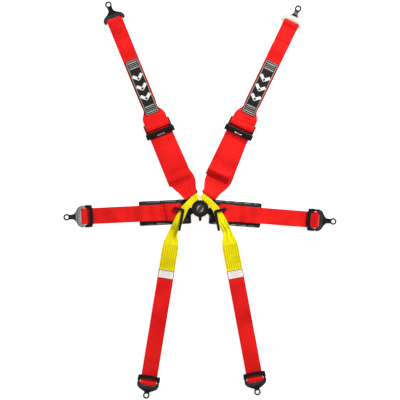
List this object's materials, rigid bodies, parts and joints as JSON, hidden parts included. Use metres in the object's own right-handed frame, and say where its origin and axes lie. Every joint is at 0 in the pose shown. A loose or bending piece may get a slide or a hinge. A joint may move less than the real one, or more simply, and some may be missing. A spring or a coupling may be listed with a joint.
{
  "type": "racing harness",
  "caption": "Driver safety harness laid flat: round rotary release buckle, wide shoulder belts with pull-down adjusters, padded lap belts, looped leg belts and bolt-in anchors.",
  "frame": {"origin": "centre of the buckle on its back face", "axes": "+Z out of the buckle's front, +Y towards the shoulder belts, +X towards the right lap belt"},
  "size_m": [0.8508, 1.2375, 0.026],
  "materials": {
    "red_webbing": "woven polyester",
    "yellow_webbing": "woven polyester",
    "pad_fabric": "matt knitted",
    "black_label": "woven label",
    "white_label": "printed satin",
    "liner_plastic": "moulded",
    "black_plastic": "anodised look",
    "badge": "satin",
    "black_steel": "black coated",
    "plain_steel": "satin"
  },
  "bodies": {
    "buckle": {"buckle_back_plate": "black_steel", "buckle_housing": "black_plastic", "housing_screws": "plain_steel", "centre_stud": "plain_steel", "return_spring": "plain_steel", "tongue_latches": "plain_steel", "left_lap_tongue": "black_steel", "left_lap_inner_webbing": "red_webbing", "left_lap_pad": "pad_fabric", "left_leg_hook": "black_steel", "left_leg_loop_top": "yellow_webbing", "right_leg_loop_top": "yellow_webbing"},
    "release": {"release_knob": "black_plastic", "knob_badge": "badge", "release_cam": "plain_steel"},
    "left_shoulder_tongue": {"left_shoulder_tongue": "black_steel"},
    "left_shoulder_lower": {"left_shoulder_lower_webbing": "red_webbing", "left_adjuster_frame": "black_steel", "left_adjuster_lock_bar": "black_steel", "left_adjuster_pin": "black_steel"},
    "left_adjuster_lever": {"left_adjuster_lever": "black_steel"},
    "left_shoulder_upper": {"left_shoulder_upper_webbing": "red_webbing", "left_shoulder_label": "black_label"},
    "left_shoulder_anchor": {"left_shoulder_bracket": "black_steel", "left_shoulder_bracket_liner": "liner_plastic"},
    "right_shoulder_tongue": {"right_shoulder_tongue": "black_steel"},
    "right_shoulder_lower": {"right_shoulder_lower_webbing": "red_webbing", "right_adjuster_frame": "black_steel", "right_adjuster_lock_bar": "black_steel", "right_adjuster_pin": "black_steel"},
    "right_adjuster_lever": {"right_adjuster_lever": "black_steel"},
    "right_shoulder_upper": {"right_shoulder_upper_webbing": "red_webbing", "right_shoulder_label": "black_label"},
    "right_shoulder_anchor": {"right_shoulder_bracket": "black_steel", "right_shoulder_bracket_liner": "liner_plastic"},
    "right_lap_inner": {"right_lap_tongue": "black_steel", "right_lap_inner_webbing": "red_webbing", "right_lap_pad": "pad_fabric", "right_leg_hook": "black_steel"},
    "left_lap_outer": {"left_lap_outer_webbing": "red_webbing"},
    "left_lap_slide": {"left_lap_slide": "black_steel"},
    "left_lap_anchor": {"left_lap_bracket": "black_steel", "left_lap_bracket_liner": "liner_plastic"},
    "right_lap_outer": {"right_lap_outer_webbing": "red_webbing"},
    "right_lap_slide": {"right_lap_slide": "black_steel"},
    "right_lap_anchor": {"right_lap_bracket": "black_steel", "right_lap_bracket_liner": "liner_plastic"},
    "left_leg": {"left_leg_loop_lower": "yellow_webbing", "left_leg_webbing": "red_webbing", "left_leg_care_label": "white_label"},
    "left_leg_slide": {"left_leg_slide": "black_steel"},
    "left_leg_anchor": {"left_leg_bracket": "black_steel", "left_leg_bracket_liner": "liner_plastic"},
    "right_leg": {"right_leg_loop_lower": "yellow_webbing", "right_leg_webbing": "red_webbing", "right_leg_care_label": "white_label"},
    "right_leg_slide": {"right_leg_slide": "black_steel"},
    "right_leg_anchor": {"right_leg_bracket": "black_steel", "right_leg_bracket_liner": "liner_plastic"}
  },
  "joints": [
    {"name": "release_turn", "type": "hinge", "parent": "buckle", "child": "release", "pos_m": [0, 0, 0.02], "axis": [0, 0, 1], "range_deg": [-35, 35], "stiffness_Nm_per_rad": 0.4},
    {"name": "left_shoulder_tongue_release", "type": "slide", "parent": "buckle", "child": "left_shoulder_tongue", "axis": [-0.5592, 0.829, 0], "range_m": [0, 0.022], "deforming": ["tongue_latches"]},
    {"name": "left_shoulder_fold", "type": "hinge", "parent": "left_shoulder_tongue", "child": "left_shoulder_lower", "pos_m": [-0.02964, 0.04394, 0.01125], "axis": [0.829, 0.5592, 0], "range_deg": [-60, 65]},
    {"name": "left_adjuster_tilt", "type": "hinge", "parent": "left_shoulder_lower", "child": "left_adjuster_lever", "pos_m": [-0.12634, 0.24334, 0.012], "axis": [-0.9265, -0.3762, 0], "range_deg": [0, 50], "stiffness_Nm_per_rad": 0.05},
    {"name": "left_shoulder_length", "type": "slide", "parent": "left_shoulder_lower", "child": "left_shoulder_upper", "axis": [-0.3762, 0.9265, 0], "range_m": [0, 0.12]},
    {"name": "left_shoulder_anchor_swing", "type": "hinge", "parent": "left_shoulder_upper", "child": "left_shoulder_anchor", "pos_m": [-0.26667, 0.58894, 0.0048], "axis": [0.9265, 0.3762, 0], "range_deg": [-75, 75]},
    {"name": "right_shoulder_tongue_release", "type": "slide", "parent": "buckle", "child": "right_shoulder_tongue", "axis": [0.5592, 0.829, 0], "range_m": [0, 0.022], "deforming": ["tongue_latches"]},
    {"name": "right_shoulder_fold", "type": "hinge", "parent": "right_shoulder_tongue", "child": "right_shoulder_lower", "pos_m": [0.02964, 0.04394, 0.01125], "axis": [0.829, -0.5592, 0], "range_deg": [-60, 65]},
    {"name": "right_adjuster_tilt", "type": "hinge", "parent": "right_shoulder_lower", "child": "right_adjuster_lever", "pos_m": [0.1231, 0.24399, 0.012], "axis": [-0.9011, 0.4337, 0], "range_deg": [0, 50], "stiffness_Nm_per_rad": 0.05},
    {"name": "right_shoulder_length", "type": "slide", "parent": "right_shoulder_lower", "child": "right_shoulder_upper", "axis": [0.4337, 0.9011, 0], "range_m": [0, 0.12]},
    {"name": "right_shoulder_anchor_swing", "type": "hinge", "parent": "right_shoulder_upper", "child": "right_shoulder_anchor", "pos_m": [0.28399, 0.57829, 0.0048], "axis": [0.9011, -0.4337, 0], "range_deg": [-75, 75]},
    {"name": "right_lap_tongue_release", "type": "slide", "parent": "buckle", "child": "right_lap_inner", "axis": [0.9969, -0.0785, 0], "range_m": [0, 0.02], "deforming": ["tongue_latches"]},
    {"name": "left_lap_fold", "type": "hinge", "parent": "buckle", "child": "left_lap_outer", "pos_m": [-0.20777, -0.0168, 0.0039], "axis": [-0.0471, 0.9989, 0], "range_deg": [-80, 80]},
    {"name": "left_lap_adjust", "type": "slide", "parent": "left_lap_outer", "child": "left_lap_slide", "axis": [0.9989, 0.0471, 0], "range_m": [0, 0.025]},
    {"name": "left_lap_anchor_swing", "type": "hinge", "parent": "left_lap_outer", "child": "left_lap_anchor", "pos_m": [-0.36559, -0.02424, 0.0048], "axis": [-0.0471, 0.9989, 0], "range_deg": [-75, 75]},
    {"name": "right_lap_fold", "type": "hinge", "parent": "right_lap_inner", "child": "right_lap_outer", "pos_m": [0.20736, -0.02332, 0.0039], "axis": [-0.0785, -0.9969, 0], "range_deg": [-80, 80]},
    {"name": "right_lap_adjust", "type": "slide", "parent": "right_lap_outer", "child": "right_lap_slide", "axis": [-0.9969, 0.0785, 0], "range_m": [0, 0.025]},
    {"name": "right_lap_anchor_swing", "type": "hinge", "parent": "right_lap_outer", "child": "right_lap_anchor", "pos_m": [0.36487, -0.03572, 0.0048], "axis": [-0.0785, -0.9969, 0], "range_deg": [-75, 75]},
    {"name": "left_leg_fold", "type": "hinge", "parent": "buckle", "child": "left_leg", "pos_m": [-0.085, -0.076, 0.0039], "axis": [-0.9869, 0.1614, 0], "range_deg": [-60, 80]},
    {"name": "left_leg_adjust", "type": "slide", "parent": "left_leg", "child": "left_leg_slide", "axis": [0.1614, 0.9869, 0], "range_m": [0, 0.025]},
    {"name": "left_leg_anchor_swing", "type": "hinge", "parent": "left_leg", "child": "left_leg_anchor", "pos_m": [-0.16189, -0.54607, 0.0048], "axis": [-0.9869, 0.1614, 0], "range_deg": [-75, 75]},
    {"name": "right_leg_fold", "type": "hinge", "parent": "buckle", "child": "right_leg", "pos_m": [0.086, -0.076, 0.0039], "axis": [-0.9829, -0.1839, 0], "range_deg": [-60, 80]},
    {"name": "right_leg_adjust", "type": "slide", "parent": "right_leg", "child": "right_leg_slide", "axis": [-0.1839, 0.9829, 0], "range_m": [0, 0.025]},
    {"name": "right_leg_anchor_swing", "type": "hinge", "parent": "right_leg", "child": "right_leg_anchor", "pos_m": [0.17198, -0.53561, 0.0048], "axis": [-0.9829, -0.1839, 0], "range_deg": [-75, 75]}
  ]
}
